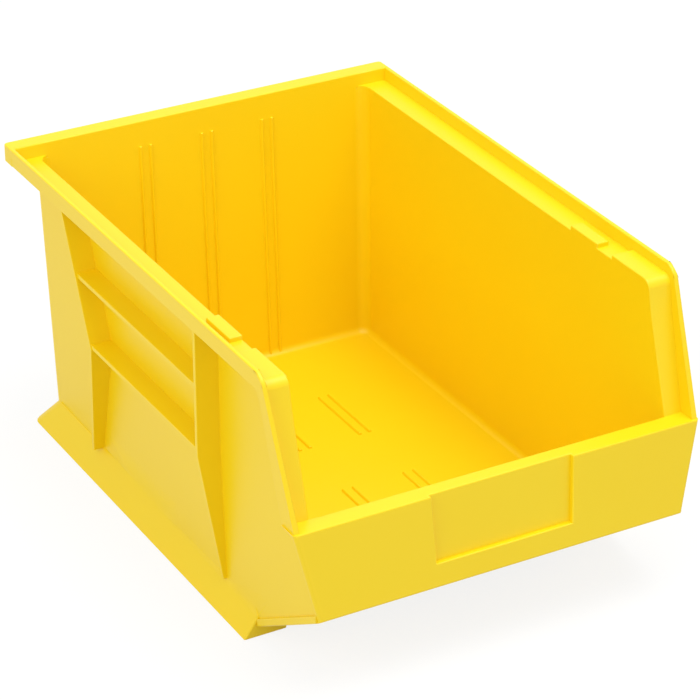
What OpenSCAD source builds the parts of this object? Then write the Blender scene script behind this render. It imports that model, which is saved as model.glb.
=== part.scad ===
// Stack-and-hang storage bin with an open hopper front, one moulded body cut into its named regions.
// Frame: millimetres, +Z up, origin at the middle of the box's underside, the open front faces -Y.
// Depths named "d" are measured forward from the back edge of the bin.

/* [Overall] */
// width over the side rims
body_w = 280; // [240:1:320]
// length, back edge to front panel
body_l = 398; // [350:1:450]
// height, stacking rails to rim
body_h = 200; // [170:1:230]
// wall thickness
wall_t = 3; // [2:0.5:4]

/* [Tub] */
// width of a side rim, from the tub wall's outside to the lip's outside
rim_w = 16; // [12:0.5:24]
// how far the side walls draw in from rim to floor at the back
draft_back = 3.5; // [0:0.1:8]
// how far the side walls stand out from rim to floor at the front
flare_front = 1; // [0:0.1:4]
// back wall, distance in from the back edge at the rim
back_in_top = 9; // [6:0.5:14]
// back wall, distance in from the back edge at the floor
back_in_floor = 19; // [10:0.5:28]
// outside radius of the upright back corners
corner_r = 8; // [4:0.5:14]
// underside of the floor above the ground
floor_lift = 4; // [3:0.5:8]
// depth at which the back corners give way to the side walls
corner_cut = 27; // [20:1:40]

/* [Rim] */
// drop from the top of the lip to the ledge
ledge_drop = 9; // [6:0.5:14]
// thickness of the lip and the ledge
lip_t = 3; // [2:0.5:4]
// depth of the back rim, front to back
back_rim_d = 12; // [10:0.5:18]
// how far the hanger lip comes down from the top
hanger_drop = 12; // [8:0.5:20]
// rounding where the lip turns down to the front
lip_turn_r = 12; // [6:1:20]
// rounding where the ledge turns down to the front
ledge_turn_r = 8; // [4:1:16]

/* [Front] */
// how far behind the front the ledge turns down the diagonal
diag_back = 43; // [30:1:70]
// how far the lip's turn stands in front of the ledge's
lip_step = 2.5; // [0:0.5:6]
// how far the lip's foot stays behind the panel's face
lip_foot_back = 0.5; // [0:0.1:2]
// how far the lip draws in towards its foot
lip_draw = 2; // [0:0.1:2.8]
// height of the top of the front panel
panel_top = 112.4; // [90:0.2:140]
// height of the bottom of the front panel
panel_bottom = 54; // [40:0.5:70]
// lean of the panel, bottom further forward than top
panel_lean = 6; // [0:0.5:12]
// thickness of the front panel, and depth of the label recess
panel_t = 3.2; // [2:0.2:5]
// depth of the front lip, front to back
front_lip_d = 13; // [8:0.5:20]
// length of the chin, from the front back to the flat floor
chin_run = 83; // [50:1:100]
// how far the bead along the chin's sides stands out from the wall
bead_out = 1.3; // [0.6:0.1:3]
// height of the bead
bead_h = 5.5; // [3:0.5:8]
// label recess, half width at the top
label_half_top = 49; // [35:0.5:60]
// label recess, half width at the bottom
label_half_bottom = 46.5; // [35:0.5:60]
// height of the bottom edge of the label recess
label_bottom = 69; // [60:0.5:90]

/* [Stacking rails] */
// play on each side between a rail and the lip of the bin below
stack_gap = 2.5; // [1:0.1:5]
// width of a rail's foot
rail_w = 29; // [20:0.5:40]
// height at which the flare leaves the side wall
rail_top = 18; // [12:0.5:30]
// how far the flare's top stands out from the side wall
rail_step = 1.4; // [0.5:0.1:4]
// rounding of the rails' outer back corner
rail_r = 8; // [4:0.5:12]
// back end of the rails
rail_back = 10; // [6:0.5:30]
// how far the back end of the rails leans forward to its top
rail_rake = 13; // [6:0.5:20]
// how far the rails' front end lies ahead of the start of the chin
rail_ahead = 5.5; // [0:0.5:12]
// gap between the rails' front end and the chin's beads
rail_gap = 0.5; // [0.2:0.1:6]

/* [Side ribs] */
// depth of the back rib's front face at the rim
rib_back_top = 87; // [60:1:120]
// depth of the back rib's front face at the lower shelf
rib_back_mid = 120.5; // [90:0.5:150]
// depth of the back rib's front face at the rail
rib_back_foot = 94; // [70:0.5:130]
// depth of the front rib's front face
rib_front = 273; // [240:1:300]
// how far the front rib's foot kicks forward
rib_front_kick = 6; // [0:0.5:12]
// how far the ribs' outer edges stay in from the rim above the lower shelf
rib_in = 0.5; // [0:0.1:4]
// how far the back rib's edge stays in from the rim at the lower shelf
rib_back_mid_in = 3; // [0:0.1:6]
// how far the back rib's edge stays in from the rim at the rail
rib_back_foot_in = 11.5; // [8:0.1:14]
// how far the front rib's edge stays in from the rim at the rail
rib_front_foot_in = 14.5; // [8:0.1:15]
// height at which the ribs' feet start to widen upwards
rib_foot_h = 14; // [8:0.5:20]
// thickness of the ribs and the shelves
rib_t = 3; // [2:0.5:4]
// top of the upper shelf
shelf_upper = 150; // [130:1:165]
// top of the lower shelf
shelf_lower = 107; // [90:1:125]
// how far the shelves' outer edges stay in from the rim
shelf_in = 1.3; // [0:0.1:6]

/* [Stops on the ledges] */
// how much further back than this bin the one above it sits
stack_shift = 4.5; // [2:0.5:10]
// gap between tab and pad that takes the rail end of the bin above
lock_gap = 16; // [8:0.5:24]
// length of the raised tab
tab_l = 30; // [15:1:50]
// height of the tab
tab_h = 3; // [2:0.5:6]
// width of the tab
tab_w = 9; // [5:0.5:14]
// height of the front pad
pad_h = 2.6; // [1:0.2:5]

/* [Divider ridges] */
// spacing of the ridge pairs across the bin
ridge_pitch = 45; // [35:0.5:60]
// half the distance between the two ridges of a pair
ridge_gap_half = 3.4; // [2:0.1:6]
// width of one ridge
ridge_w = 1.6; // [1:0.1:3]
// height of one ridge
ridge_h = 1.2; // [0.6:0.1:3]
// back and front ends of the longer floor ridges
floor_ridge_long = [92, 149];
// back and front ends of the shorter floor ridges
floor_ridge_short = [206.5, 230.5];
// height where the back wall ridges start
back_ridge_top = 184; // [150:1:188]

/* [Hidden] */
half_w = body_w / 2;
ledge_top = body_h - ledge_drop;
under = ledge_top - lip_t;
lip_in = half_w - lip_t;
top_half = half_w - rim_w;
floor_half_back = top_half - draft_back;
floor_half_front = top_half + flare_front;
bite = draft_back + 2 * wall_t;
diag_top = body_l - diag_back;
lip_top = diag_top + lip_step;
chin_start = body_l - chin_run;
floor_top = floor_lift + wall_t;
back_slope = (back_in_floor - back_in_top) / (body_h - floor_lift);
panel_h_z = panel_top - panel_bottom;
lean_a = atan(panel_lean / panel_h_z);
panel_back_bottom = body_l - panel_t;
front_d = body_l - panel_lean;
lip_under = panel_top - wall_t;
chin_slope = (panel_bottom - floor_lift) / chin_run;
chin_t = wall_t * sqrt(1 + chin_slope * chin_slope);
inner_top_d = front_d - front_lip_d;
inner_foot_d = inner_top_d + wall_t;
web_foot_d = inner_foot_d + wall_t;
chin_foot = floor_lift + chin_t;
floor_end = chin_start - (chin_foot - floor_top) / chin_slope;
diag_slope = (inner_top_d - diag_top) / (ledge_top - panel_top);
lip_slope = (front_d - lip_foot_back - lip_top) / (body_h - panel_top);
diag_under = diag_top - lip_t * (sqrt(1 + diag_slope * diag_slope) - diag_slope);
flange_foot_d = diag_under + (under - panel_top) * diag_slope;
flange_split = under - ledge_turn_r / 2;
rail_front = chin_start + rail_ahead;
bead_back = rail_front + rail_gap;
rail_half = lip_in - stack_gap;
rail_in = rail_half - rail_w;
rail_high = floor_half_back + rail_step;
rail_side_t = wall_t * sqrt(1 + pow((rail_half - rail_high) / rail_top, 2));
pad_back = rail_front - stack_shift;
tab_front = pad_back - lock_gap;
tab_back = tab_front - tab_l;
mid_z = shelf_lower - rib_t;
eps = 0.01;
far = 600;
$fn = 32;

// position along Y of a depth measured from the back edge
function y(d) = body_l / 2 - d;
// depth of the back rib's front face at a height above the lower shelf
function rib_d(z) = rib_back_top + (under - z) * (rib_back_mid - rib_back_top) / (under - mid_z);
// height of the chin's underside at a depth
function chin_z(d) = floor_lift + (d - chin_start) * chin_slope;
// depth of the inside face of the back wall at a height
function back_face(z) = back_in_top + wall_t + (body_h - z) * back_slope;

// a side-view outline (points are depth, height) drawn out along X from x0 to x1
module side_plate(x0, x1) {
  translate([x0, body_l / 2, 0]) rotate([90, 0, 90]) linear_extrude(x1 - x0)
    mirror([1, 0]) children();
}
// everything on the right hand side, or its mirror image on the left
module on_side(s) { if (s > 0) children(); else mirror([1, 0, 0]) children(); }
// the tub's four sides as one tall block, drawn in by "off"
module tub_block(off) {
  low = floor_lift; r = corner_r - off;
  hull() for (s = [-1, 1]) {
    translate([s * (floor_half_back - off - r), y(back_in_floor + off + r), low]) cylinder(r = r, h = eps);
    translate([s * (top_half - off - r), y(back_in_top + off + r), body_h]) cylinder(r = r, h = eps);
    translate([s * (floor_half_front - off) - (s + 1) / 2, y(body_l), low]) cube([1, 1, eps]);
    translate([s * (top_half - off) - (s + 1) / 2, y(body_l), body_h]) cube([1, 1, eps]);
  }
}
// side-view area over the underside of the floor and of the chin
module over_chin() polygon([[-far, floor_lift], [chin_start, floor_lift], [far, chin_z(far)],
  [far, far], [-far, far]]);
// side-view area under a line that runs level and then turns down to the front
module under_line(top, turn_d, slope, r) {
  offset(r = r) offset(delta = -r)
    polygon([[-far, 0], [-far, top], [turn_d, top], [turn_d + top * slope, 0]]);
}
module below_ledge() {
  under_line(under, diag_under, diag_slope, ledge_turn_r - lip_t);
}
module below_lip() { under_line(body_h, lip_top, lip_slope, lip_turn_r); }
module below_ledge_top() { under_line(ledge_top, diag_top, diag_slope, ledge_turn_r); }
// side-view area behind the front panel
module behind_panel() {
  polygon([[0, 0], [0, body_h], [panel_back_bottom - (body_h - panel_bottom) * panel_lean / panel_h_z,
    body_h], [panel_back_bottom + panel_bottom * panel_lean / panel_h_z, 0]]);
}
// narrows the upright lip towards the front panel
module lip_taper() {
  hull() {
    translate([-half_w, -far / 2, under]) cube([body_w, far, body_h]);
    translate([lip_draw - half_w, -far / 2, lip_under]) cube([body_w - 2 * lip_draw, far, eps]);
  }
}
// the flared rail as a solid, before the tub and the hollow are taken out
module rail_block(x_low, x_high, in, d0, d1, lift, low) {
  hull() {
    translate([in, y(d1), low]) cube([x_low - in - rail_r, d1 - d0, eps]);
    translate([x_low - rail_r, y(d0 + rail_r), low]) cylinder(r = rail_r, h = eps);
    translate([x_low - rail_r, y(d1), low]) cube([rail_r, rail_r, eps]);
    translate([in, y(d1), rail_top]) cube([x_high - in, d1 - d0 - lift, eps]);
  }
}
module rail_solid() {
  rail_block(rail_half, rail_high, rail_in, rail_back, rail_front, rail_rake, 0);
}

module floor_pan() color("#F2C400") intersection() {
  tub_block(0);
  side_plate(-far / 2, far / 2) polygon([[0, floor_lift], [chin_start, floor_lift],
    [chin_start, chin_foot], [floor_end, floor_top], [0, floor_top]]);
}
module front_chin() color("#E8BC00") intersection() {
  tub_block(0);
  side_plate(-far / 2, far / 2) polygon([[chin_start, floor_lift], [web_foot_d, chin_z(web_foot_d)],
    [web_foot_d, chin_z(web_foot_d) + chin_t], [chin_start, chin_foot]]);
}
module chin_bead(s) color("#DCAE00") on_side(s) difference() {
  side_plate(top_half - bite, floor_half_front + bead_out) intersection() {
    behind_panel();
    polygon([[bead_back, chin_z(bead_back)], [body_l, panel_bottom], [body_l, panel_bottom + bead_h],
      [bead_back, chin_z(bead_back) + bead_h]]);
  }
  tub_block(0);
}
module left_chin_bead() chin_bead(-1);
module right_chin_bead() chin_bead(1);
module back_wall() color("#F0C000") difference() {
  intersection() {
    tub_block(0);
    translate([-far / 2, y(corner_cut), floor_top]) cube([far, corner_cut, under - floor_top]);
  }
  tub_block(wall_t);
}
module side_wall(s) color("#EEBE00") on_side(s) difference() {
  intersection() {
    tub_block(0);
    side_plate(0, far / 2) intersection() {
      behind_panel();
      union() {
        intersection() {
          below_ledge();
          union() { square([flange_foot_d, far]); translate([0, panel_top]) square([far, far]); }
        }
        square([body_l, lip_under]);
      }
      polygon([[corner_cut, floor_top], [floor_end, floor_top],
        [web_foot_d, chin_z(web_foot_d) + chin_t], [web_foot_d, chin_z(web_foot_d)],
        [body_l, panel_bottom], [far, panel_bottom], [far, body_h], [corner_cut, body_h]]);
    }
  }
  tub_block(wall_t);
}
module left_side_wall() side_wall(-1);
module right_side_wall() side_wall(1);

// the ledge and the lip, level along the side and then down the diagonal
module between(s, z0, z1, d0) on_side(s) intersection() {
  children();
  translate([0, y(far), z0]) cube([far, far - d0, z1 - z0]);
}
module ledge_band() difference() {
  side_plate(top_half - bite, lip_in) difference() { below_ledge_top(); below_ledge(); }
  tub_block(wall_t);
}
module lip_band() intersection() {
  side_plate(lip_in, half_w) difference() { below_lip(); below_ledge(); }
  lip_taper();
}
// the level stretch that the bin above stands on, up to the tab
module ledge(s) color("#FFD83A") difference() {
  between(s, flange_split, body_h, back_rim_d) ledge_band();
  translate([-far / 2, y(tab_back) - far, 0]) cube([far, far, body_h]);
}
// the stretch in front of it, with the turn down
module ledge_front(s) color("#F8D030") between(s, flange_split, body_h, tab_back) ledge_band();
module lip(s) color("#F8CC2A") {
  between(s, flange_split, body_h, back_rim_d) lip_band();
  between(s, under, body_h - wall_t, lip_t)
    side_plate(lip_in, half_w) square([back_rim_d, body_h]);
}
module left_ledge() ledge(-1);
module right_ledge() ledge(1);
module left_ledge_front() ledge_front(-1);
module right_ledge_front() ledge_front(1);
module left_lip() lip(-1);
module right_lip() lip(1);
module left_front_flange() color("#F6CC18") between(-1, panel_top, flange_split, back_rim_d) ledge_band();
module right_front_flange() color("#F6CC18") between(1, panel_top, flange_split, back_rim_d) ledge_band();
module left_front_lip() color("#F0C420") between(-1, lip_under, flange_split, back_rim_d) lip_band();
module right_front_lip() color("#F0C420") between(1, lip_under, flange_split, back_rim_d) lip_band();

module rim_bar(x, d0, d1, z0, z1, r) {
  translate([0, 0, z0]) linear_extrude(z1 - z0) hull() {
    for (s = [-1, 1]) translate([s * (x - r), y(d0 + r)]) circle(r);
    translate([-x, y(d1)]) square([2 * x, 1]);
  }
}
module back_rim() color("#FFDC44") rim_bar(half_w, 0, back_rim_d, body_h - wall_t, body_h, lip_t);
module back_rim_web() color("#F0C020")
  translate([-lip_in, y(back_rim_d), under]) cube([2 * lip_in, wall_t, body_h - wall_t - under]);
module hanger_lip() color("#E6B800") intersection() {
  rim_bar(half_w, 0, back_rim_d, body_h - hanger_drop, body_h - wall_t, lip_t);
  translate([-far / 2, y(lip_t), 0]) cube([far, far, body_h]);
}

// the front panel's own frame: X across, Y into the bin, Z up the leaning face
module on_panel() {
  translate([0, y(body_l), panel_bottom]) rotate([-lean_a, 0, 0]) children();
}
module panel_plate(pts, d0, d1) {
  translate([0, d1, 0]) rotate([90, 0, 0]) linear_extrude(d1 - d0) polygon(pts);
}
label_z = (label_bottom - panel_bottom) / cos(lean_a);
label_up = panel_h_z / cos(lean_a);
module label_cut(extra, d0, d1) {
  panel_plate([[-label_half_bottom - extra, label_z - extra], [label_half_bottom + extra, label_z - extra],
    [label_half_top + extra, label_up + 2], [-label_half_top - extra, label_up + 2]], d0, d1);
}
module front_panel() color("#F0C830") difference() {
  on_panel() difference() {
    union() {
      panel_plate([[-floor_half_front, -panel_t], [floor_half_front, -panel_t], [floor_half_front, 0],
        [lip_in, label_up], [-lip_in, label_up], [-floor_half_front, 0]], 0, panel_t);
      label_cut(wall_t, panel_t - eps, panel_t + wall_t);
    }
    label_cut(0, -1, panel_t);
  }
  translate([-far / 2, -far / 2, lip_under]) cube([far, far, far]);
  side_plate(-far / 2, far / 2) difference() { square(body_l + panel_t); over_chin(); }
}
module front_lip() color("#FFD020") difference() {
  side_plate(-lip_in, lip_in) polygon([[flange_foot_d, lip_under],
    [front_d + wall_t * panel_lean / panel_h_z, lip_under], [front_d, panel_top],
    [flange_foot_d, panel_top]]);
  intersection() {
    tub_block(wall_t);
    side_plate(-far / 2, far / 2) square([inner_top_d, body_h]);
  }
  on_panel() label_cut(0, -2, panel_t);
}
module front_inner_wall() color("#EABA00") intersection() {
  tub_block(wall_t);
  side_plate(-far / 2, far / 2) polygon([
    [inner_foot_d, chin_z(inner_foot_d) + chin_t], [web_foot_d, chin_z(web_foot_d) + chin_t],
    [inner_top_d + wall_t, lip_under], [inner_top_d, lip_under]]);
}

module stacking_rail(s) color("#F2C81C") on_side(s) difference() {
  rail_solid();
  rail_block(rail_half - rail_side_t, rail_high - rail_side_t, rail_in + wall_t,
    rail_back + wall_t, rail_front - wall_t, rail_rake, -eps);
  intersection() { tub_block(0); side_plate(-far / 2, far / 2) over_chin(); }
}
module left_stacking_rail() stacking_rail(-1);
module right_stacking_rail() stacking_rail(1);

// a rib's outline seen from the front, with the tub and the rail still in it
module rib_blank(mid_in, foot_in) {
  translate([0, far / 2, 0]) rotate([90, 0, 0]) linear_extrude(far)
    polygon([[top_half - bite, 0], [half_w - foot_in, 0], [half_w - foot_in, rib_foot_h],
      [half_w - mid_in, mid_z], [half_w - rib_in, under], [top_half - bite, under]]);
}
// a rib from its front face's depths at the rim, the lower shelf and the rail
module rib(s, d_top, d_mid, d_foot, mid_in, foot_in) color("#DCA81A") on_side(s) difference() {
  intersection() {
    rib_blank(mid_in, foot_in);
    side_plate(0, far / 2) polygon([[d_top - rib_t, under], [d_top, under], [d_mid, mid_z],
      [d_foot, 0], [d_foot - rib_t, 0], [d_mid - rib_t, mid_z]]);
  }
  tub_block(0);
  rail_solid();
}
module back_rib(s) rib(s, rib_back_top, rib_back_mid, rib_back_foot, rib_back_mid_in, rib_back_foot_in);
module front_rib(s) rib(s, rib_front, rib_front, rib_front + rib_front_kick, rib_in, rib_front_foot_in);
module left_back_rib() back_rib(-1);
module right_back_rib() back_rib(1);
module left_front_rib() front_rib(-1);
module right_front_rib() front_rib(1);

module shelf(s, top) color("#F5C800") on_side(s) difference() {
  side_plate(top_half - bite, half_w - shelf_in) polygon([[rib_d(top), top], [rib_front - rib_t, top],
    [rib_front - rib_t, top - rib_t], [rib_d(top - rib_t), top - rib_t]]);
  tub_block(0);
}
module left_upper_shelf() shelf(-1, shelf_upper);
module right_upper_shelf() shelf(1, shelf_upper);
module left_lower_shelf() shelf(-1, shelf_lower);
module right_lower_shelf() shelf(1, shelf_lower);

// a low block on a ledge, flush with the wall's inner face
module ledge_block(s, x1, d0, d1, h) on_side(s) difference() {
  translate([top_half - bite, y(d1), ledge_top]) cube([x1 - top_half + bite, d1 - d0, h]);
  tub_block(wall_t);
}
module slide_tab(s) color("#FFDC30")
  ledge_block(s, top_half - wall_t + tab_w, tab_back, tab_front, tab_h);
module left_slide_tab() slide_tab(-1);
module right_slide_tab() slide_tab(1);
module stop_pad(s) color("#FFDC30")
  ledge_block(s, lip_in, pad_back, diag_top - ledge_turn_r, pad_h);
module left_stop_pad() stop_pad(-1);
module right_stop_pad() stop_pad(1);

module back_divider_ridges() color("#F0B800")
  for (p = [-1, 0, 1], s = [-1, 1])
    translate([p * ridge_pitch + s * ridge_gap_half - ridge_w / 2, y(back_face(floor_top)), floor_top])
      rotate([-atan(back_slope), 0, 0]) translate([0, -ridge_h, 0])
        cube([ridge_w, ridge_h, (back_ridge_top - floor_top) / cos(atan(back_slope))]);
module floor_divider_ridges() color("#F6CC10")
  for (e = [floor_ridge_long, floor_ridge_short], p = [-1, 0, 1], s = [-1, 1])
    translate([p * ridge_pitch + s * ridge_gap_half - ridge_w / 2, y(e[1]), floor_top])
      cube([ridge_w, e[1] - e[0], ridge_h]);

floor_pan();
front_chin();
left_chin_bead();
right_chin_bead();
back_wall();
left_side_wall();
right_side_wall();
left_ledge();
right_ledge();
left_ledge_front();
right_ledge_front();
left_lip();
right_lip();
left_front_flange();
right_front_flange();
left_front_lip();
right_front_lip();
back_rim();
back_rim_web();
hanger_lip();
front_panel();
front_lip();
front_inner_wall();
left_stacking_rail();
right_stacking_rail();
left_back_rib();
right_back_rib();
left_front_rib();
right_front_rib();
left_upper_shelf();
right_upper_shelf();
left_lower_shelf();
right_lower_shelf();
left_slide_tab();
right_slide_tab();
left_stop_pad();
right_stop_pad();
back_divider_ridges();
floor_divider_ridges();
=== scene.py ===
"""Looks of a stackable storage bin: one injection moulding in yellow polypropylene.

The moulding is modelled as one continuous skin, because the real bin has no seams between its
regions. Each region starts as a block, is cut to its form and is joined to the rest. Then the
free edges are rounded and the right hand half is mirrored.
"""

from __future__ import annotations

import logging
import math
from collections.abc import Callable, Iterator, Sequence
from contextlib import contextmanager
from dataclasses import dataclass
from enum import Enum
from typing import NamedTuple

import bmesh
import bpy
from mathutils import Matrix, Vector

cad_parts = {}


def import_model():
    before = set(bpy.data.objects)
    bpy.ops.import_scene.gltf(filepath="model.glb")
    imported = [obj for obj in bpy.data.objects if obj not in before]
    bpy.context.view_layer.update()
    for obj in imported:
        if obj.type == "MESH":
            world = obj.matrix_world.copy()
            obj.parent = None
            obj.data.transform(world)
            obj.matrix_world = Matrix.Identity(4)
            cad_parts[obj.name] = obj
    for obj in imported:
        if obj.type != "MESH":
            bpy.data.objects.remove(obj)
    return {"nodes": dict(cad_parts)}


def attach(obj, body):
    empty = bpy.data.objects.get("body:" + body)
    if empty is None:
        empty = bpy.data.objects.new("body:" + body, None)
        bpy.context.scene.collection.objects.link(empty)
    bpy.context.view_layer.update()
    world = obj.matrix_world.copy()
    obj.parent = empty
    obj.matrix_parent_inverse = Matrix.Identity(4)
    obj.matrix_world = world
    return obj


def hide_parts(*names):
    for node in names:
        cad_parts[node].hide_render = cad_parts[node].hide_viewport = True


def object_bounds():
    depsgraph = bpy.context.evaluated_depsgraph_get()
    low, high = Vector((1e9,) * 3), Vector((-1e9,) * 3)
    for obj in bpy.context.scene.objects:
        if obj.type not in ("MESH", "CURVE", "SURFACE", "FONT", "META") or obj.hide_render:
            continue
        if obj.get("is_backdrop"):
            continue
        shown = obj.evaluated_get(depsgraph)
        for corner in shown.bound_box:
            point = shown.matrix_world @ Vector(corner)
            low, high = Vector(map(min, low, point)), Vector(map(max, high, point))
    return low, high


MM = 0.001
# How close a corner lies to a level that it belongs to, and how far faces that would lie in
# one plane are kept apart, in millimetres.
NEAR = 0.1
CLEAR = 0.03
# Places outside the bin, which cutting blocks reach.
BEYOND_X = 200.0
BEYOND_D = 430.0
BEYOND_Z = 230.0
log = logging.getLogger("storage_bin")


class Spot(NamedTuple):
    """A place in millimetres: x across, d forward from the bin's back edge, z up."""

    x: float
    d: float
    z: float


Place = Callable[[Spot], bool]


class Side(Enum):
    """What a plane keeps of the block that it cuts."""

    BEHIND = 1
    AHEAD = -1


class Merge(Enum):
    """What becomes of the plastic that two blocks share."""

    UNION = "UNION"
    DIFFERENCE = "DIFFERENCE"


def near(value: float, target: float, reach: float = NEAR) -> bool:
    """Says whether a value lies within reach of a target."""
    return abs(value - target) < reach


def choose(*bodies: bpy.types.Object) -> None:
    """Selects some objects and no others.

    Args:
        bodies: the objects, the first of which becomes the active one.
    """
    bpy.ops.object.select_all(action="DESELECT")
    for body in bodies:
        body.select_set(True)
    bpy.context.view_layer.objects.active = bodies[0]


class Blank:
    """A closed block of plastic that is cut, joined and rounded until it is a finished piece.

    All lengths are in millimetres: x across, d forward from the bin's back edge, z up.
    back_edge is the back edge's y in the part's frame.
    """

    back_edge = 199.0

    def __init__(self, name: str, x: tuple[float, float], d: tuple[float, float],
                 z: tuple[float, float]) -> None:
        """Adds a cube primitive at its size and place.

        Args:
            name: the object's name.
            x: lowest and highest x.
            d: backmost and foremost depth.
            z: lowest and highest z.
        """
        low = self.point(x[0], d[1], z[0])
        high = self.point(x[1], d[0], z[1])
        bpy.ops.object.select_all(action="DESELECT")
        bpy.ops.mesh.primitive_cube_add(size=1.0, location=(low + high) / 2)
        self.body = bpy.context.active_object
        self.body.name = name
        self.body.scale = high - low
        bpy.ops.object.transform_apply(location=True, rotation=True, scale=True)

    @classmethod
    def point(cls, x: float, d: float, z: float) -> Vector:
        """Returns the place in metres, in the part's frame, of a point in millimetres."""
        return Vector((x, cls.back_edge - d, z)) * MM

    @classmethod
    def measured(cls, co: Vector) -> Spot:
        """Returns the place in millimetres of a point in metres."""
        return Spot(co.x / MM, cls.back_edge - co.y / MM, co.z / MM)

    @contextmanager
    def editing(self, mode: str = "VERT") -> Iterator[bmesh.types.BMesh]:
        """Opens the block in edit mode with nothing selected.

        Args:
            mode: the selection mode, VERT, EDGE or FACE.

        Yields:
            The mesh in edit mode.
        """
        choose(self.body)
        bpy.ops.object.mode_set(mode="EDIT")
        bpy.ops.mesh.select_mode(type=mode)
        bpy.ops.mesh.select_all(action="DESELECT")
        yield bmesh.from_edit_mesh(self.body.data)
        bpy.ops.object.mode_set(mode="OBJECT")

    def pick_faces(self, mesh: bmesh.types.BMesh, where: Place) -> None:
        """Selects the faces whose middles lie in a place."""
        for face in mesh.faces:
            face.select_set(where(self.measured(face.calc_center_median())))

    def shift(self, where: Place, x: float = 0.0, d: float = 0.0, z: float = 0.0) -> Blank:
        """Moves the corners that lie in a place.

        Args:
            where: says whether a corner is moved.
            x: how far across.
            d: how far forward.
            z: how far up.

        Returns:
            The block itself.
        """
        with self.editing("VERT") as mesh:
            for vert in mesh.verts:
                vert.select_set(where(self.measured(vert.co)))
            mesh.select_flush_mode()
            bpy.ops.transform.translate(value=Vector((x, -d, z)) * MM)
        return self

    def grow(self, where: Place, x: float = 0.0, d: float = 0.0, z: float = 0.0) -> Blank:
        """Extrudes the faces whose middles lie in a place.

        Args:
            where: says whether a face's middle is extruded.
            x: how far across.
            d: how far forward.
            z: how far up.

        Returns:
            The block itself.
        """
        with self.editing("FACE") as mesh:
            self.pick_faces(mesh, where)
            bpy.ops.mesh.extrude_region_move(
                TRANSFORM_OT_translate={"value": Vector((x, -d, z)) * MM})
        return self

    def slice(self, at: tuple[float, float], to: tuple[float, float], keep: Side) -> Blank:
        """Cuts the block with a plane that is a line in the side view, and closes the cut.

        Args:
            at: one point of the line, as (d, z).
            to: another point of the line.
            keep: the part that stays, behind the line or ahead of it.

        Returns:
            The block itself.
        """
        run, rise = to[0] - at[0], to[1] - at[1]
        normal = Vector((0.0, -rise, -run)) * (keep.value if rise > 0 else -keep.value)
        with self.editing("VERT"):
            bpy.ops.mesh.select_all(action="SELECT")
            bpy.ops.mesh.bisect(plane_co=self.point(0.0, *at), plane_no=normal.normalized(),
                                use_fill=True, clear_outer=True, threshold=1e-7)
        return self

    def round(self, where: Place, offset: float, steps: int = 4) -> Blank:
        """Rounds the edges whose middles lie in a place.

        Args:
            where: says whether an edge's middle is rounded.
            offset: how far from the edge the rounding starts.
            steps: how many facets the rounding has.

        Returns:
            The block itself.
        """
        least_turn = math.radians(4)
        with self.editing("EDGE") as mesh:
            for edge in mesh.edges:
                middle = (edge.verts[0].co + edge.verts[1].co) / 2
                edge.select_set(where(self.measured(middle))
                                and edge.calc_face_angle(0.0) > least_turn)
            bpy.ops.mesh.bevel(offset=offset * MM, segments=steps, profile=0.5,
                               affect="EDGES", clamp_overlap=False)
        return self

    def refine(self, where: Place, cuts: int) -> Blank:
        """Subdivides the faces whose middles lie in a place, so that a twisted wall stays fair.

        Args:
            where: says whether a face's middle is subdivided.
            cuts: how many cuts each edge gets.

        Returns:
            The block itself.
        """
        with self.editing("FACE") as mesh:
            self.pick_faces(mesh, where)
            bpy.ops.mesh.subdivide(number_cuts=cuts, ngon=True)
        return self

    def facet(self) -> Blank:
        """Splits every face into triangles, so that a twisted face is exact.

        Returns:
            The block itself.
        """
        with self.editing("FACE"):
            bpy.ops.mesh.select_all(action="SELECT")
            bpy.ops.mesh.quads_convert_to_tris(quad_method="FIXED", ngon_method="BEAUTY")
        return self

    def merge(self, others: Sequence[Blank], operation: Merge) -> Blank:
        """Joins other blocks to this one or cuts them out of it. They are used up.

        Args:
            others: the other blocks, in the order in which they are taken.
            operation: whether they are joined or cut out.

        Returns:
            The block itself.
        """
        for other in others:
            choose(self.body)
            boolean = self.body.modifiers.new(operation.name.lower(), "BOOLEAN")
            boolean.operation = operation.value
            boolean.solver = "EXACT"
            boolean.object = other.body
            bpy.ops.object.modifier_apply(modifier=boolean.name)
            bpy.data.objects.remove(other.body, do_unlink=True)
        return self

    def join(self, *others: Blank) -> Blank:
        """Joins other blocks to this one and returns it."""
        return self.merge(others, Merge.UNION)

    def cut(self, *others: Blank) -> Blank:
        """Cuts other blocks out of this one and returns it."""
        return self.merge(others, Merge.DIFFERENCE)

    def clean(self, close: float = 0.05) -> Blank:
        """Merges corners that lie close together and drops faces without area.

        The corners are sorted first, so that each run merges them in the same order.

        Args:
            close: how close two corners lie to become one.

        Returns:
            The block itself.
        """
        with self.editing("VERT"):
            bpy.ops.mesh.select_all(action="SELECT")
            bpy.ops.mesh.sort_elements(type="CURSOR_DISTANCE",
                                       elements={"VERT", "EDGE", "FACE"})
            bpy.ops.mesh.remove_doubles(threshold=close * MM)
            bpy.ops.mesh.dissolve_degenerate(threshold=close * MM)
        return self


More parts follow.
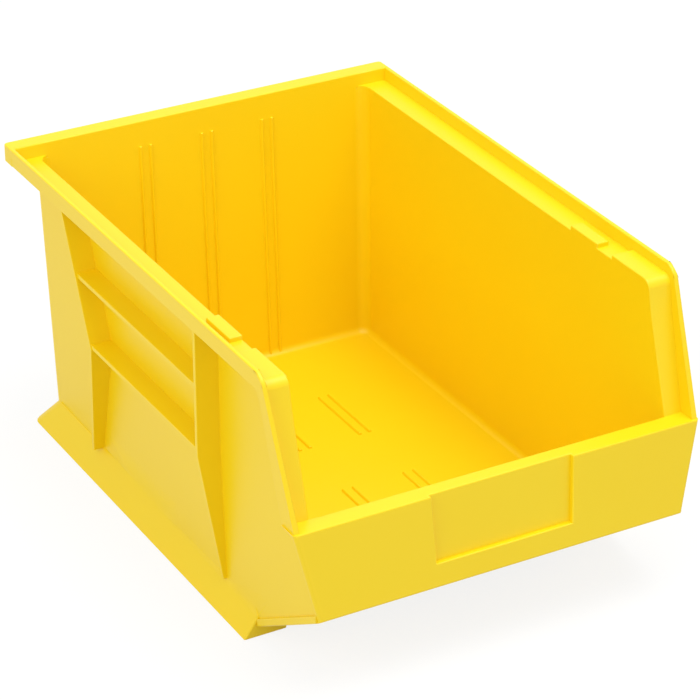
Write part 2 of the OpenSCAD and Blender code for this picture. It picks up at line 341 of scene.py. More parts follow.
@dataclass(frozen=True)
class BinSizes:
    """The bin's main sizes in millimetres, worked out from the box of its solids."""

    box_half: float
    length: float
    box_height: float
    skin: float = 0.05
    wall: float = 3.0
    rim_w: float = 16.0
    draft_back: float = 3.5
    flare_front: float = 1.0
    ledge_drop: float = 9.0
    floor_lift: float = 4.0
    back_top: float = 9.0
    back_floor: float = 19.0
    back_rim_d: float = 12.0
    diag_back: float = 43.0
    front_lip_d: float = 13.0
    panel_top: float = 112.4
    panel_bottom: float = 54.0
    panel_lean: float = 6.0
    panel_t: float = 3.2
    chin_run: float = 83.0

    @classmethod
    def from_box(cls, low: Sequence[float], high: Sequence[float]) -> BinSizes:
        """Takes the width, the length and the height from a box in metres."""
        return cls(*(round(size / MM, 2) for size in (high[0], high[1] - low[1], high[2])))

    @property
    def half_w(self) -> float:
        """Half the width over the lips, just inside the solids' box."""
        return self.box_half - self.skin

    @property
    def height(self) -> float:
        """Height of the lips' top, just inside the solids' box."""
        return self.box_height - self.skin

    @property
    def lip_in(self) -> float:
        """Half the width between the lips."""
        return self.box_half - self.wall

    @property
    def half_top(self) -> float:
        """Half the tub's width at the rim."""
        return self.box_half - self.rim_w

    @property
    def half_back(self) -> float:
        """Half the tub's width at the floor's back end."""
        return self.half_top - self.draft_back

    @property
    def half_front(self) -> float:
        """Half the tub's width at the floor's front end."""
        return self.half_top + self.flare_front

    @property
    def ledge_top(self) -> float:
        """Height of the stacking ledge."""
        return self.box_height - self.ledge_drop

    @property
    def under(self) -> float:
        """Height of the stacking ledge's underside."""
        return self.ledge_top - self.wall

    @property
    def diag_top(self) -> float:
        """Depth at which the ledge turns down the diagonal."""
        return self.length - self.diag_back

    @property
    def front_d(self) -> float:
        """Depth of the panel's face at its top."""
        return self.length - self.panel_lean

    @property
    def inner_top_d(self) -> float:
        """Depth of the back edge of the panel's lip, where the diagonal ends."""
        return self.front_d - self.front_lip_d

    @property
    def web_foot_d(self) -> float:
        """Depth of the back face of the gap behind the panel, at its foot."""
        return self.length - self.front_lip_d

    @property
    def chin_start(self) -> float:
        """Depth at which the floor turns up to the chin."""
        return self.length - self.chin_run

    @property
    def diag_slope(self) -> float:
        """How far forward the diagonal runs for each millimetre down."""
        return (self.inner_top_d - self.diag_top) / (self.ledge_top - self.panel_top)

    @property
    def chin_slope(self) -> float:
        """How far up the chin runs for each millimetre forward."""
        return (self.panel_bottom - self.floor_lift) / self.chin_run

    @property
    def chin_t(self) -> float:
        """Height of the chin's slab, measured upright."""
        return self.wall * math.sqrt(1 + self.chin_slope ** 2)

    def turn_back(self, thickness: float) -> float:
        """Returns how far back the ledge's turn lies on a face that much below its top."""
        return thickness * (math.sqrt(1 + self.diag_slope ** 2) - self.diag_slope)

    def chin_z(self, d: float) -> float:
        """Returns the height of the chin's underside at a depth."""
        return self.floor_lift + (d - self.chin_start) * self.chin_slope

    def share_up(self, z: float) -> float:
        """Returns how far up the walls a height lies, from 0 at the floor to 1 at the rim."""
        return (z - self.floor_lift) / (self.height - self.floor_lift)

    def side_at(self, z: float, front: bool, off: float = 0.0) -> float:
        """Returns the tub's half width.

        Args:
            z: the height.
            front: whether at the front end rather than the back end.
            off: how far inside the outer face.

        Returns:
            The half width at that place.
        """
        foot = self.half_front if front else self.half_back
        return foot + (self.half_top - foot) * self.share_up(z) - off

    def back_at(self, z: float, off: float = 0.0) -> float:
        """Returns the depth of the back wall's outer face, or of a face inside it."""
        return self.back_floor + (self.back_top - self.back_floor) * self.share_up(z) + off

    def upright_corner(self, p: Spot) -> bool:
        """Says whether an edge's middle is that of the tub's upright back corner."""
        return p.x > self.half_back - 20.0 and p.d < 30.0 and near(p.z, self.height / 2, 50.0)


@dataclass
class Tub:
    """The floor, the four walls and the rising chin."""

    sizes: BinSizes
    corner: float = 8.0
    root: float = 4.5
    mouth_turn: float = 4.8
    back_ease: float = 1.02

    def block(self, name: str, off: float, low: float, high: float, front: float) -> Blank:
        """Builds the tub's four drafted sides as one block.

        Args:
            name: the block's name.
            off: how far inside the outer faces.
            low: height of the underside.
            high: height of the top.
            front: depth of the front end.

        Returns:
            The block, its side walls still plain.
        """
        s = self.sizes
        blank = Blank(name, (-s.half_w - off, s.half_top), (0.0, front), (low, high))
        for z in (low, high):
            for d, at_front in ((0.0, False), (front, True)):
                blank.shift(lambda p, z=z, d=d: p.x > 0 and near(p.z, z) and near(p.d, d),
                            x=s.side_at(z, at_front, off) - s.half_top)
            blank.shift(lambda p, z=z: near(p.z, z) and near(p.d, 0.0),
                        d=s.back_at(z, off * self.back_ease))
        return blank

    def outer(self) -> Blank:
        """Builds the outside of the tub, with its hopper mouth cut and its top turned down.

        Returns:
            The block.
        """
        s = self.sizes
        inset = s.wall / 2
        top = s.ledge_top - inset
        tub = self.block("moulded_bin", 0.0, s.floor_lift, top, s.length)
        tub.round(s.upright_corner, self.corner, 6)
        tub.refine(lambda p: p.x > s.half_back - 0.5 and near(p.d, s.length / 2, 50.0), 5)
        tub.slice((s.chin_start, s.floor_lift), (s.length, s.panel_bottom), Side.BEHIND)
        tub.slice((s.length - inset, s.panel_bottom), (s.front_d - inset, s.panel_top),
                  Side.BEHIND)
        turn_d = s.diag_top - s.turn_back(inset)
        mouth = Blank("mouth", (-BEYOND_X, BEYOND_X), (turn_d - 50.0, BEYOND_D),
                      (s.panel_top - inset, BEYOND_Z))
        mouth.slice((turn_d + (top - s.panel_top) * s.diag_slope, s.panel_top),
                    (turn_d, top), Side.AHEAD)
        tub.cut(mouth)
        return tub.round(lambda p: near(p.d, turn_d, 0.3) and p.z > top - 0.3,
                         self.mouth_turn, 6)

    def cavity(self) -> Blank:
        """Builds the space inside the tub, with rounded roots.

        Returns:
            The block to cut away.
        """
        s = self.sizes
        space = self.block("cavity", s.wall, s.floor_lift + s.wall, BEYOND_Z, s.length)
        foot_d = s.inner_top_d + s.wall
        foot = (foot_d, s.chin_z(foot_d) + s.chin_t)
        space.slice(foot, (s.inner_top_d, s.panel_top), Side.BEHIND)
        space.slice((s.chin_start, s.floor_lift + s.chin_t), foot, Side.BEHIND)
        space.round(s.upright_corner, self.corner, 8)
        return space.round(lambda p: p.z < s.panel_bottom + 6.0 and p.x > -s.half_top
                           and not (p.x > s.half_top - 24.0 and p.d > s.diag_top),
                           self.root, 5)

    def panel_gap(self) -> Blank:
        """Builds the slot between the front panel and the wall behind it, open below.

        Returns:
            The block to cut away.
        """
        s = self.sizes
        gap = Blank("panel_gap", (-BEYOND_X, s.half_top - s.wall - 0.6),
                    (s.web_foot_d, s.length + 5.0), (30.0, s.panel_top - 2.0))
        return gap.shift(lambda p: p.z > s.panel_bottom and near(p.d, s.web_foot_d),
                         d=-s.wall)


@dataclass
class SideRim:
    """The stacking ledge and the upright lip outside it, level and then down the diagonal."""

    sizes: BinSizes
    depth_in: float = 9.0
    overlap: float = 0.4
    lip_step: float = 2.5
    lip_foot_back: float = 1.5
    lip_turn: float = 8.2
    ledge_turn: float = 5.9
    under_turn: float = 3.7
    lip_draw: float = 2.8
    lip_draw_in: float = 3.4
    ledge_draw: float = 2.1
    foot_drop: float = 1.2
    tab: tuple[float, float] = (270.0, 300.0)
    tab_w: float = 9.0
    tab_h: float = 3.0
    pad: tuple[float, float] = (316.0, 356.0)
    pad_h: float = 2.6
    pad_turn: float = 5.5
    pad_back: float = 0.1

    @property
    def inside(self) -> float:
        """The x at which the rim's blocks start, in the space that the cavity takes away."""
        return self.sizes.half_top - self.depth_in

    def strip(self, name: str, x: tuple[float, float], back: float, top: float,
              turn_d: float, foot_d: float, turn: float) -> Blank:
        """Builds a plate that runs level and then turns down towards the front panel.

        Args:
            name: the plate's name.
            x: its inner and outer x.
            back: depth of its back end.
            top: height of its level stretch.
            turn_d: depth at which it turns down.
            foot_d: depth of the diagonal at the panel's top.
            turn: how far from the corner the turn's rounding starts.

        Returns:
            The plate.
        """
        s = self.sizes
        plate = Blank(name, x, (back, BEYOND_D), (s.panel_top - self.foot_drop, top))
        plate.slice((foot_d, s.panel_top), (turn_d, top), Side.BEHIND)
        return plate.round(lambda p: near(p.d, turn_d, 0.3) and p.z > top - 0.3, turn, 6)

    def ledge(self) -> Blank:
        """Builds the ledge as a deep block, drawn in at its foot.

        Returns:
            The ledge.
        """
        s = self.sizes
        ledge = self.strip("ledge", (self.inside, s.lip_in + self.overlap),
                           s.back_rim_d - 1.0, s.ledge_top, s.diag_top, s.inner_top_d,
                           self.ledge_turn)
        ledge.shift(lambda p: p.x > s.lip_in and p.z < s.panel_top, x=-self.ledge_draw)
        return ledge.facet()

    def lip(self) -> Blank:
        """Builds the upright lip, drawn in at its foot.

        Returns:
            The lip.
        """
        s = self.sizes
        lip = self.strip("lip", (s.lip_in, s.half_w), s.back_rim_d / 2, s.height,
                         s.diag_top + self.lip_step, s.front_d - self.lip_foot_back,
                         self.lip_turn)
        lip.shift(lambda p: p.x > s.half_w - 1.0 and p.z < s.panel_top, x=-self.lip_draw)
        lip.shift(lambda p: p.x < s.lip_in + NEAR and p.z < s.panel_top, x=-self.lip_draw_in)
        return lip.facet()

    def hollow(self) -> Blank:
        """Builds the space under the ledge and behind the front flange.

        Returns:
            The block to cut away.
        """
        s = self.sizes
        turn_d = s.diag_top - s.turn_back(s.wall)
        hollow = Blank("under_ledge", (self.inside - 20.0, BEYOND_X), (-20.0, BEYOND_D),
                       (s.panel_bottom + 6.0, s.under))
        hollow.slice((turn_d + (s.under - s.panel_top) * s.diag_slope, s.panel_top),
                     (turn_d, s.under), Side.BEHIND)
        return hollow.round(lambda p: p.z > s.under - 0.3 and p.d > turn_d - 50.0,
                            self.under_turn, 5)

    def stop_pad(self) -> Blank:
        """Builds the raised pad at the ledge's front end, which runs down the diagonal.

        Returns:
            The pad.
        """
        s = self.sizes
        top, drop = s.ledge_top + self.pad_h, 19.0
        pad = Blank("stop_pad", (self.inside - 1.0, s.lip_in + self.overlap),
                    (self.pad[0], s.length + 2.0), (s.ledge_top - 26.0, top))
        pad.slice((s.diag_top + drop * s.diag_slope - self.pad_back, s.ledge_top - drop),
                  (self.pad[1], top), Side.BEHIND)
        return pad.round(lambda p: near(p.d, self.pad[1], 0.3) and p.z > top - 0.3,
                         self.pad_turn, 8)

    def slide_tab(self) -> Blank:
        """Builds the raised tab that the rail of the bin above slides past.

        Returns:
            The tab.
        """
        s = self.sizes
        return Blank("slide_tab", (self.inside - 1.0, s.half_top - s.wall + self.tab_w),
                     self.tab, (s.ledge_top - 1.0, s.ledge_top + self.tab_h))

    def build(self) -> Blank:
        """Builds the right hand rim with its tab and pad.

        Returns:
            The rim.
        """
        rim = self.ledge().join(self.lip(), self.stop_pad()).cut(self.hollow())
        return rim.join(self.slide_tab())


@dataclass
class BackRim:
    """The flat rim over the back wall, with the lip that hangs on a louvred panel."""

    sizes: BinSizes
    inner: float = -60.0
    hanger_drop: float = 12.0
    rim_round: float = 2.6

    def build(self) -> Blank:
        """Builds the rim, its web and its hanging lip.

        Returns:
            The rim.
        """
        s = self.sizes
        low, high = s.height - self.hanger_drop + CLEAR, s.height - CLEAR
        rim = Blank("back_rim", (self.inner, s.half_w - CLEAR), (0.0, s.back_rim_d),
                    (low, high))
        for z in (low, high):
            rim.shift(lambda p, z=z: near(p.z, z) and p.d > 1,
                      d=s.back_at(z, s.wall * Tub.back_ease) + 0.02 - s.back_rim_d)
        rim.round(lambda p: p.x > s.half_w - 1.0 and p.d < NEAR
                  and low + 1 < p.z < s.height - 1, self.rim_round, 4)
        return rim.cut(Blank("groove", (-BEYOND_X, s.lip_in + CLEAR), (s.wall, s.back_top),
                             (low - 10.0, s.height - s.wall)))


@dataclass
class HopperFront:
    """The leaning front panel with its label recess, and the flat lip on top."""

    sizes: BinSizes
    inner: float = -60.0
    foot_drop: float = 6.0
    lip_run: float = 12.0
    label_top: float = 49.0
    label_foot: float = 46.5
    label_z: tuple[float, float] = (69.0, 130.0)
    edge: float = 2.2
    top_half: float = 138.05

    def lean(self, z: float) -> float:
        """Returns how far behind the panel's foot its face lies at a height."""
        s = self.sizes
        return s.panel_lean * (z - s.panel_bottom) / (s.panel_top - s.panel_bottom)

    def leaning(self, name: str, x: tuple[float, float, float], z: tuple[float, float],
                d: tuple[float, float]) -> Blank:
        """Builds a plate that leans as the panel does.

        Args:
            name: the plate's name.
            x: its inner end, and its half width at the foot and at the top.
            z: its lowest and highest z.
            d: its faces, measured forward from the panel's face.

        Returns:
            The plate.
        """
        s = self.sizes
        plate = Blank(name, (x[0], x[2]), (s.length + d[0], s.length + d[1]), z)
        plate.shift(lambda p: p.x > 0 and near(p.z, z[0]), x=x[1] - x[2])
        for level in z:
            plate.shift(lambda p, level=level: near(p.z, level), d=-self.lean(level))
        return plate

    def build(self) -> Blank:
        """Builds the panel upwards in two steps, then its lip backwards from the upper one.

        Returns:
            The front.
        """
        s = self.sizes
        under = s.panel_top - s.wall
        widen = (self.top_half - s.half_front) / (s.panel_top - s.panel_bottom)
        foot = s.panel_bottom - self.foot_drop
        front = Blank("front_panel", (self.inner, s.half_front),
                      (s.length - s.panel_t, s.length), (foot, s.panel_bottom))
        front.shift(lambda p: near(p.z, foot), d=-self.lean(foot))
        for low, high in ((s.panel_bottom, under), (under, s.panel_top)):
            front.grow(lambda p, low=low: p.z > low - NEAR, z=high - low,
                       d=self.lean(low) - self.lean(high))
            front.shift(lambda p, high=high: p.z > high - NEAR and p.x > 0,
                        x=widen * (high - low))
        front.round(lambda p: p.x > s.half_front - 0.5 and p.z < s.panel_top - NEAR
                    and p.d > s.length - self.lean(p.z) - 1, self.edge, 4)
        front.grow(lambda p: p.z > under + NEAR and p.d < s.front_d - s.panel_t + 0.3
                   and p.x < self.top_half - 1, d=-self.lip_run)
        return front.slice((s.chin_start, s.floor_lift - CLEAR),
                           (s.length, s.panel_bottom - CLEAR), Side.BEHIND)

    def backing(self) -> Blank:
        """Builds the plastic behind the recess."""
        s = self.sizes
        return self.leaning("backing",
                            (self.inner + 5.0, self.label_foot + s.wall, self.label_top + s.wall),
                            (self.label_z[0] - s.wall, s.panel_top - 1.0),
                            (-s.panel_t - s.wall, -1.0))

    def recess(self) -> Blank:
        """Builds the label recess, which is open at the front, as a block to cut away."""
        return self.leaning("label_recess", (self.inner - 30.0, self.label_foot, self.label_top),
                            self.label_z, (CLEAR + 0.01 - self.sizes.panel_t, 8.0))


class Levels(NamedTuple):
    """A rib's value at its foot, at the lower shelf and at the rim."""

    foot: float
    middle: float
    rim: float


@dataclass
class SideGear:
    """The flared stacking rail with the two ribs and the two shelves above it."""

    sizes: BinSizes
    rail_half: float = 134.5
    rail_in: float = 105.5
    rail_top: float = 18.0
    rail_high: float = 121.9
    rail_d: tuple[float, float] = (10.0, 320.5)
    rail_wall: float = 3.66
    rail_roof: float = 2.0
    rake: float = 13.0
    rail_r: float = 8.0
    fillet_z: tuple[float, float] = (12.0, 19.6)
    fillet_back: float = 30.0
    fillet_in: float = 0.25
    fillet_fade: tuple[float, float] = (3.0, 4.0)
    root_in: float = 8.0
    rib_t: float = 3.0
    rib_up: float = 0.6
    mid_z: float = 104.0
    foot_z: float = 17.4
    back_rib: Levels = Levels(98.4, 120.5, 87.0)
    back_edge: Levels = Levels(128.8, 137.6, 139.0)
    front_rib: Levels = Levels(278.0, 273.0, 273.0)
    front_edge: Levels = Levels(126.0, 139.0, 139.0)
    shelves: tuple[float, float] = (150.0, 107.0)
    shelf_half: float = 136.9
    bead_gap: float = 0.5
    bead_out: float = 1.3
    bead_h: float = 5.5

    @property
    def flare(self) -> float:
        """How far in the rail's side draws for each millimetre up."""
        return (self.rail_half - self.rail_high) / self.rail_top

    def rail(self, name: str, off: float, side_off: float, low: float,
             high: float) -> Blank:
        """Builds the rail's outside, or the hollow inside it.

        Args:
            name: the block's name.
            off: how far inside the end faces and the inner face.
            side_off: how far inside the flared face, measured level.
            low: height of its underside.
            high: height of its top.

        Returns:
            The block.
        """
        rake = self.rake / self.rail_top
        foot_x = self.rail_half - side_off - self.flare * low
        foot_d = self.rail_d[0] + off + rake * low
        rail = Blank(name, (self.rail_in + off, foot_x), (foot_d, self.rail_d[1] - off),
                     (low, high))
        rail.shift(lambda p: near(p.x, foot_x) and near(p.z, high), x=self.flare * (low - high))
        rail.shift(lambda p: near(p.d, foot_d) and near(p.z, high), d=rake * (high - low))
        return rail.round(lambda p: p.x > self.rail_in + 8.5 and p.d < foot_d + 20.0
                          and low + 1 < p.z < high - 1, self.rail_r - off, 5)

    def fillet(self) -> Blank:
        """Builds the hollow turn between the tub's side and the rail, fading out at the back.

        Returns:
            The fillet.
        """
        s = self.sizes
        low, high = self.fillet_z
        back, front = self.fillet_back, self.rail_d[1] - 0.02
        foot = self.rail_half - self.flare * low - self.fillet_in
        strip = Blank("rail_fillet", (self.rail_in + 4.5, foot), (back, front), (low, high))
        for d in (back, front):
            share = (d - s.back_floor) / (s.length - s.back_floor)
            side = s.side_at(high, False) * (1 - share) + s.side_at(high, True) * share
            strip.shift(lambda p, d=d: p.x > self.rail_in + 5.5 and near(p.z, high)
                        and near(p.d, d), x=side - self.fillet_in - foot)
        strip.shift(lambda p: p.x > self.rail_in + 5.5 and near(p.d, back),
                    x=-self.fillet_fade[0])
        strip.shift(lambda p: near(p.z, high) and near(p.d, front), d=-self.fillet_fade[1])
        return strip.facet()

    def rib(self, name: str, face: Levels, edge: Levels) -> Blank:
        """Builds a rib by extruding its foot up to the shelf and on to the rim.

        Args:
            name: the rib's name.
            face: depths of its front face.
            edge: its outer x.

        Returns:
            The rib.
        """
        s = self.sizes
        inside = s.half_top - self.root_in
        rib = Blank(name, (inside, edge.middle), (face.middle - self.rib_t, face.middle),
                    (self.foot_z, self.mid_z))
        rib.shift(lambda p: near(p.z, self.foot_z), d=face.foot - face.middle)
        rib.shift(lambda p: near(p.z, self.foot_z) and p.x > inside + 1,
                  x=edge.foot - edge.middle)
        top = s.under + self.rib_up
        rib.grow(lambda p: p.z > self.mid_z - NEAR, z=top - self.mid_z,
                 d=(face.rim - face.middle) * (top - self.mid_z) / (s.under - self.mid_z))
        return rib.shift(lambda p: near(p.z, top) and p.x > inside + 1,
                         x=edge.rim - edge.middle)

    def shelf(self, top: float) -> Blank:
        """Builds a shelf between the ribs.

        Args:
            top: height of its upper face.

        Returns:
            The shelf.
        """
        s = self.sizes
        lean = (self.back_rib.middle - self.back_rib.rim) / (s.under - self.mid_z)
        start = self.back_rib.rim + (s.under - top) * lean - 0.8
        return Blank("shelf", (s.half_top - self.root_in + 1.0, self.shelf_half),
                     (start, self.front_rib.middle - self.rib_t / 2), (top - self.rib_t, top))

    def build(self) -> Blank:
        """Builds the right hand rail, ribs and shelves.

        Returns:
            The side gear.
        """
        gear = self.rail("stacking_rail", 0.0, 0.0, 0.0, self.rail_top)
        gear.join(self.rib("back_rib", self.back_rib, self.back_edge),
                  self.rib("front_rib", self.front_rib, self.front_edge), self.fillet())
        for top in self.shelves:
            gear.join(self.shelf(top))
        return gear.cut(self.rail("rail_hollow", self.sizes.wall, self.rail_wall, -6.0,
                                  self.rail_top - self.rail_roof))

    def bead(self) -> Blank:
        """Builds the bead along the chin's side.

        Returns:
            The bead.
        """
        s = self.sizes
        back, front = self.rail_d[1] + self.bead_gap, s.length - s.panel_t + 0.3
        low = s.chin_z(back)
        bead = Blank("chin_bead", (s.half_top - 4.0, s.half_front + self.bead_out),
                     (back, front), (low - CLEAR, low + self.bead_h))
        return bead.shift(lambda p: near(p.d, front), z=s.chin_z(front) - low)


@dataclass
class DividerRidges:
    """The low pairs of ridges that hold a divider, on the back wall and on the floor."""

    sizes: BinSizes
    pitch: float = 45.0
    gap_half: float = 3.7
    width: float = 3.4
    crest_w: float = 1.2
    height: float = 1.5
    top: float = 182.5
    sunk: float = 1.0
    on_floor: tuple[tuple[float, float], tuple[float, float]] = ((92.0, 149.0), (206.5, 230.5))

    def ridge(self, name: str, d: tuple[float, float], z: tuple[float, float]) -> Blank:
        """Builds one plain ridge on the bin's middle line.

        Args:
            name: its name.
            d: its back and front depth.
            z: its lowest and highest z.

        Returns:
            The ridge.
        """
        return Blank(name, (-self.width / 2, self.width / 2), d, z)

    def crest(self, ridge: Blank, where: Place) -> Blank:
        """Draws the free side of a ridge in to its crest and rounds it.

        Args:
            ridge: the plain ridge.
            where: says whether a corner or an edge's middle lies on the free side.

        Returns:
            The ridge.
        """
        draw = (self.width - self.crest_w) / 2
        ridge.shift(lambda p: where(p) and p.x > 0, x=-draw)
        ridge.shift(lambda p: where(p) and p.x < 0, x=draw)
        return ridge.round(where, self.crest_w * 0.4, 3)

    def repeat(self, ridge: Blank) -> Blank:
        """Copies one ridge to the three pairs and joins the copies.

        Args:
            ridge: the ridge on the middle line, which is used up.

        Returns:
            The six ridges as one piece.
        """
        first, *others = [pair * self.pitch + side * self.gap_half
                          for pair in (-1, 0, 1) for side in (-1, 1)]
        copies = []
        for place in others:
            choose(ridge.body)
            bpy.ops.object.duplicate(linked=False)
            bpy.ops.transform.translate(value=((place - first) * MM, 0.0, 0.0))
            bpy.ops.object.transform_apply(location=True, rotation=True, scale=True)
            copies.append(bpy.context.active_object)
        choose(ridge.body, *copies)
        bpy.ops.object.join()
        return ridge.shift(lambda p: True, x=first)

    def back(self) -> Blank:
        """Builds the six ridges of the back wall.

        Returns:
            The piece.
        """
        s = self.sizes
        foot = s.floor_lift + s.wall
        ridge = self.ridge("back_ridges", (0.0, self.height), (foot, self.top))
        for z in (foot, self.top):
            face = s.back_at(z, s.wall)
            ridge.shift(lambda p, z=z: near(p.z, z) and near(p.d, self.height), d=face)
            ridge.shift(lambda p, z=z: near(p.z, z) and near(p.d, 0.0), d=face - self.sunk)
        self.crest(ridge, lambda p: p.d > s.back_at(p.z, s.wall) + self.height / 3)
        return self.repeat(ridge)

    def floor(self) -> Blank:
        """Builds the twelve ridges of the floor.

        Returns:
            The piece.
        """
        foot = self.sizes.floor_lift + self.sizes.wall
        rows = []
        for row in self.on_floor:
            ridge = self.ridge("floor_ridges", row, (foot - self.sunk, foot + self.height))
            self.crest(ridge, lambda p: near(p.z, foot + self.height))
            rows.append(self.repeat(ridge))
        choose(*(row.body for row in rows))
        bpy.ops.object.join()
        return rows[0]


@dataclass
class Moulding:
    """The whole bin as one skin: the regions joined, the free edges rounded, the half mirrored."""

    sizes: BinSizes
    edge: float = 0.9
    thin_edge: float = 0.4
    edge_steps: int = 3
    least_turn: float = 35.0
    left_end: float = -55.0
    gear_foot: float = 17.2
    gear_d: tuple[float, float] = (75.0, 285.0)

    def joined(self) -> Blank:
        """Joins the regions of the right hand half, with sharp edges.

        Returns:
            The half.
        """
        tub = Tub(self.sizes)
        gear = SideGear(self.sizes)
        front = HopperFront(self.sizes)
        rim = SideRim(self.sizes).build().join(BackRim(self.sizes).build())
        blank = tub.outer().cut(tub.panel_gap())
        blank.join(rim, front.build(), gear.build(), gear.bead())
        blank.cut(tub.cavity())
        blank.join(front.backing()).cut(front.recess())
        return blank.clean()

    def thin(self, p: Spot) -> bool:
        """Says whether an edge belongs to a rib, a shelf or the lip's underside.

        Args:
            p: the edge's middle.

        Returns:
            Whether it takes the smaller rounding.
        """
        s = self.sizes
        below = p.z < s.under + 0.3
        gear = p.x > s.half_top - 4.0 and self.gear_d[0] < p.d < self.gear_d[1]
        flange_d = s.diag_top - s.turn_back(s.wall) + (s.under - p.z) * s.diag_slope
        lip = p.x > s.lip_in - 1.5 and p.d < flange_d + 1.5
        return below and (lip or (gear and p.z > self.gear_foot))

    def crowded(self, p: Spot) -> bool:
        """Says whether an edge lies where a rounding has no room.

        Args:
            p: the edge's middle.

        Returns:
            Whether it lies beside the panel, where the lip or the ledge ends on the panel, or
            at the sharp back end of the ledge.
        """
        s = self.sizes
        beside = (p.x > s.half_front - 1.0 and p.z < s.panel_top - 0.2
                  and p.d > s.front_d - s.panel_lean)
        lip_end = (p.x > s.lip_in - 1.2 and near(p.z, s.panel_top, 0.2)
                   and p.d > s.inner_top_d - s.wall)
        heel = (p.x > s.half_top + 1.0 and near(p.z, s.panel_top - SideRim.foot_drop, 0.3)
                and p.d > s.diag_top - 15.0)
        cusp = (p.x > s.half_top - 24.0 and near(p.z, s.ledge_top, 0.3)
                and p.d < s.back_rim_d + 5.0)
        return beside or lip_end or heel or cusp

    def soften(self, blank: Blank) -> None:
        """Rounds the free edges, those of the thin plates less than the others.

        Args:
            blank: the joined half.
        """
        for thin, width in ((False, self.edge), (True, self.thin_edge)):
            with blank.editing("EDGE") as mesh:
                for edge in mesh.edges:
                    middle = Blank.measured((edge.verts[0].co + edge.verts[1].co) / 2)
                    turn = math.degrees(edge.calc_face_angle_signed(0.0))
                    edge.select_set(edge.is_manifold and turn > self.least_turn
                                    and middle.x > self.left_end
                                    and self.thin(middle) == thin
                                    and not self.crowded(middle))
                bpy.ops.mesh.bevel(offset=width * MM, segments=self.edge_steps, profile=0.5,
                                   affect="EDGES", clamp_overlap=False)

    def mirror(self, blank: Blank) -> None:
        """Mirrors the right hand half and shades the skin smooth.

        Args:
            blank: the rounded half.
        """
        mirror = blank.body.modifiers.new("mirror", "MIRROR")
        mirror.use_bisect_axis[0] = True
        mirror.use_clip = True
        mirror.merge_threshold = 0.02 * MM
        bpy.ops.object.modifier_apply(modifier=mirror.name)
        bpy.ops.object.shade_smooth_by_angle(angle=math.radians(40))
        even = blank.body.modifiers.new("even", "WEIGHTED_NORMAL")
        even.keep_sharp = True
        even.weight = 80
        bpy.ops.object.modifier_apply(modifier=even.name)

    def build(self) -> Blank:
        """Joins the regions, rounds them and mirrors the half.

        Returns:
            The finished piece.
        """
        blank = self.joined()
        self.soften(blank)
        self.mirror(blank)
        return blank


def srgb(code: str) -> tuple[float, float, float, float]:
    """Turns an sRGB hex colour to linear.

    Args:
        code: six hex digits.

    Returns:
        The linear colour with an alpha of 1.
    """
    parts = [int(code[i:i + 2], 16) / 255 for i in (0, 2, 4)]
    lin = [c / 12.92 if c <= 0.04045 else ((c + 0.055) / 1.055) ** 2.4 for c in parts]
    return lin[0], lin[1], lin[2], 1.0


def empty_tree(owner: bpy.types.Material | bpy.types.World) -> bpy.types.NodeTree:
    """Gives a material or a world a node tree with nothing in it.

    Args:
        owner: the material or the world.

    Returns:
        The node tree.
    """
    owner.use_nodes = True
    owner.node_tree.nodes.clear()
    return owner.node_tree


def add_node(tree: bpy.types.NodeTree, kind: str,
             links: dict[int | str, object] | None = None, **settings: object) -> bpy.types.Node:
    """Adds a node with its settings, socket values and links.

    Args:
        tree: the node tree.
        kind: the node's type name.
        links: socket name or number to a value, or to an output socket that feeds it.
        settings: attributes of the node itself.

    Returns:
        The new node.
    """
    node = tree.nodes.new(kind)
    for name, value in settings.items():
        setattr(node, name, value)
    for key, value in (links or {}).items():
        if isinstance(value, bpy.types.NodeSocket):
            tree.links.new(value, node.inputs[key])
        else:
            node.inputs[key].default_value = value
    return node


@dataclass(frozen=True)
class MouldedPolypropylene:
    """Injection moulded polypropylene: dyed through, satin, with a fine spark-eroded grain."""

    name: str = "moulded_polypropylene"
    colour: str = "F6D304"
    flow_colour: str = "F6D708"
    flow_scale: float = 14.0
    grain_scale: float = 1600.0
    grain_strength: float = 0.06
    grain_depth: float = 0.0002
    roughness: float = 0.42
    ior: float = 1.49

    def make(self) -> bpy.types.Material:
        """Builds the material.

        Returns:
            The material.
        """
        material = bpy.data.materials.new(self.name)
        tree = empty_tree(material)
        place = add_node(tree, "ShaderNodeTexCoord").outputs["Object"]
        flow = add_node(tree, "ShaderNodeTexNoise", {"Vector": place, "Scale": self.flow_scale,
                                                     "Detail": 3.0})
        tint = add_node(tree, "ShaderNodeMix", {0: flow.outputs["Fac"], 6: srgb(self.colour),
                                                7: srgb(self.flow_colour)}, data_type="RGBA")
        grain = add_node(tree, "ShaderNodeTexNoise", {"Vector": place,
                                                      "Scale": self.grain_scale,
                                                      "Detail": 2.0})
        bump = add_node(tree, "ShaderNodeBump", {"Height": grain.outputs["Fac"],
                                                 "Strength": self.grain_strength,
                                                 "Distance": self.grain_depth})
        shader = add_node(tree, "ShaderNodeBsdfPrincipled", {
            "Base Color": tint.outputs[2], "Roughness": self.roughness, "IOR": self.ior,
            "Normal": bump.outputs["Normal"]})
        add_node(tree, "ShaderNodeOutputMaterial", {"Surface": shader.outputs["BSDF"]})
        return material


class Lamp(NamedTuple):
    """A soft square lamp that points at the bin. Lengths are in metres, power in watts."""

    name: str
    place: tuple[float, float, float]
    size: float
    power: float

    def hang(self, target: Vector) -> None:
        """Adds the lamp to the scene.

        Args:
            target: the point that it faces.
        """
        bpy.ops.object.light_add(type="AREA", location=self.place)
        lamp = bpy.context.active_object
        lamp.name = self.name
        lamp.data.size = self.size
        lamp.data.energy = self.power
        aim = target - Vector(self.place)
        lamp.rotation_euler = aim.to_track_quat("-Z", "Y").to_euler()


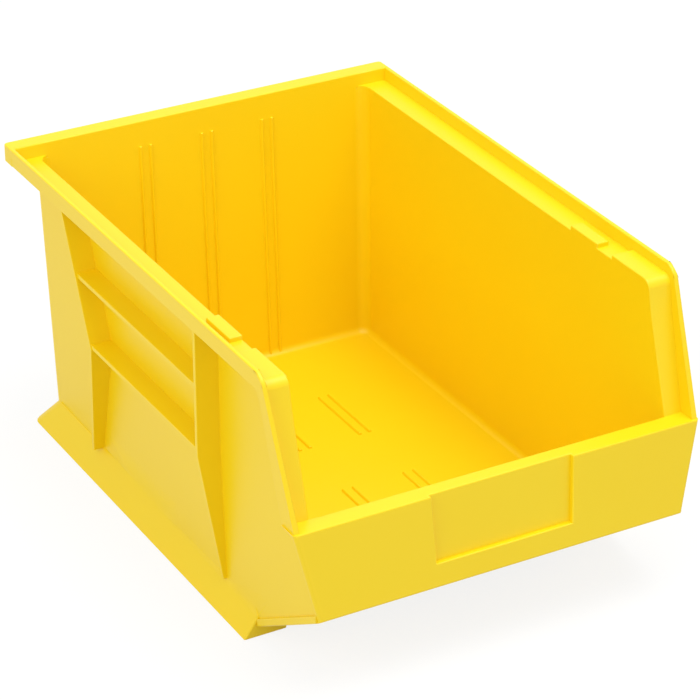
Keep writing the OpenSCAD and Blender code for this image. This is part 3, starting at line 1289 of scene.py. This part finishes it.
@dataclass(frozen=True)
class Studio:
    """A white floor and world, soft lamps, and the camera."""

    camera_place: tuple[float, float, float] = (-0.82730, -1.49434, 1.02343)
    azimuth: float = -29.134
    elevation: float = 28.266
    lens: float = 158.35
    sensor: float = 36.0
    ambient: float = 0.69
    floor_glow: float = 0.85
    floor_bounce: str = "D0D0D0"
    target: tuple[float, float, float] = (0.0, 0.0, 0.08)
    lamps: tuple[Lamp, ...] = (Lamp("overhead", (0.35, -0.45, 2.4), 1.6, 36.5),
                               Lamp("side", (-1.7, -0.5, 1.3), 1.2, 12.0))

    def shown(self, tree: bpy.types.NodeTree) -> bpy.types.NodeSocket:
        """Tells the rays that show the surroundings from those that light the bin.

        Args:
            tree: the node tree of the floor or the world.

        Returns:
            A socket that is 1 for what the camera, a gloss or a clear thing shows.
        """
        ray = add_node(tree, "ShaderNodeLightPath")
        shown = ray.outputs["Is Camera Ray"]
        for kind in ("Is Glossy Ray", "Is Transmission Ray"):
            shown = add_node(tree, "ShaderNodeMath", {0: shown, 1: ray.outputs[kind]},
                             operation="MAXIMUM").outputs[0]
        return shown

    def floor(self) -> None:
        """Lays the pale floor, which shows white and throws a little less light back."""
        bpy.ops.mesh.primitive_plane_add(size=8.0, location=(0.0, 0.0, 0.0))
        floor = bpy.context.active_object
        floor.name = "floor"
        material = bpy.data.materials.new("white_floor")
        tree = empty_tree(material)
        bounce = add_node(tree, "ShaderNodeBsdfDiffuse", {"Color": srgb(self.floor_bounce)})
        white = add_node(tree, "ShaderNodeBsdfDiffuse", {"Color": srgb("FFFFFF")})
        glow = add_node(tree, "ShaderNodeEmission", {"Color": srgb("FFFFFF"), "Strength": 1.0})
        seen = add_node(tree, "ShaderNodeMixShader", {0: self.floor_glow, 1: white.outputs[0],
                                                      2: glow.outputs[0]})
        mix = add_node(tree, "ShaderNodeMixShader", {0: self.shown(tree), 1: bounce.outputs[0],
                                                     2: seen.outputs[0]})
        add_node(tree, "ShaderNodeOutputMaterial", {"Surface": mix.outputs[0]})
        floor.data.materials.append(material)
        floor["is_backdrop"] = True

    def world(self) -> None:
        """Sets the white surroundings, which light the bin less than they show."""
        world = bpy.data.worlds.new("studio")
        bpy.context.scene.world = world
        tree = empty_tree(world)
        light, white = (add_node(tree, "ShaderNodeBackground",
                                 {"Color": srgb("FFFFFF"), "Strength": strength})
                        for strength in (self.ambient, 1.0))
        mix = add_node(tree, "ShaderNodeMixShader", {0: self.shown(tree), 1: light.outputs[0],
                                                     2: white.outputs[0]})
        add_node(tree, "ShaderNodeOutputWorld", {"Surface": mix.outputs[0]})

    def camera(self) -> None:
        """Sets the camera in front of the bin, to its left and above it."""
        tilt = math.pi / 2 - math.radians(self.elevation)
        bpy.ops.object.camera_add(location=self.camera_place,
                                  rotation=(tilt, 0.0, math.radians(self.azimuth)))
        camera = bpy.context.active_object
        camera.data.sensor_width = self.sensor
        camera.data.lens = self.lens
        bpy.context.scene.camera = camera

    def build(self) -> None:
        """Builds the whole setting."""
        self.floor()
        self.world()
        for lamp in self.lamps:
            lamp.hang(Vector(self.target))
        self.camera()
        bpy.context.scene.view_settings.view_transform = "Standard"


def main() -> None:
    """Loads the frame, builds the bin and its setting, and hands them over."""
    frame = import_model()
    cad_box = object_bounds()
    sizes = BinSizes.from_box(*cad_box)
    ridges = DividerRidges(sizes)
    ridge_nodes = ("back_divider_ridges", "floor_divider_ridges")
    plastic = MouldedPolypropylene().make()
    pieces = (
        (Moulding(sizes).build(), [n for n in frame["nodes"] if n not in ridge_nodes]),
        (ridges.back(), ridge_nodes[:1]),
        (ridges.floor(), ridge_nodes[1:]),
    )
    for blank, nodes in pieces:
        piece = blank.body
        piece.data.materials.clear()
        piece.data.materials.append(plastic)
        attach(piece, "root")
        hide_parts(*nodes)
        log.info("%s: %d faces for %d nodes", piece.name, len(piece.data.polygons), len(nodes))
    Studio().build()


if __name__ == "__main__":
    logging.basicConfig(level=logging.INFO)
    main()
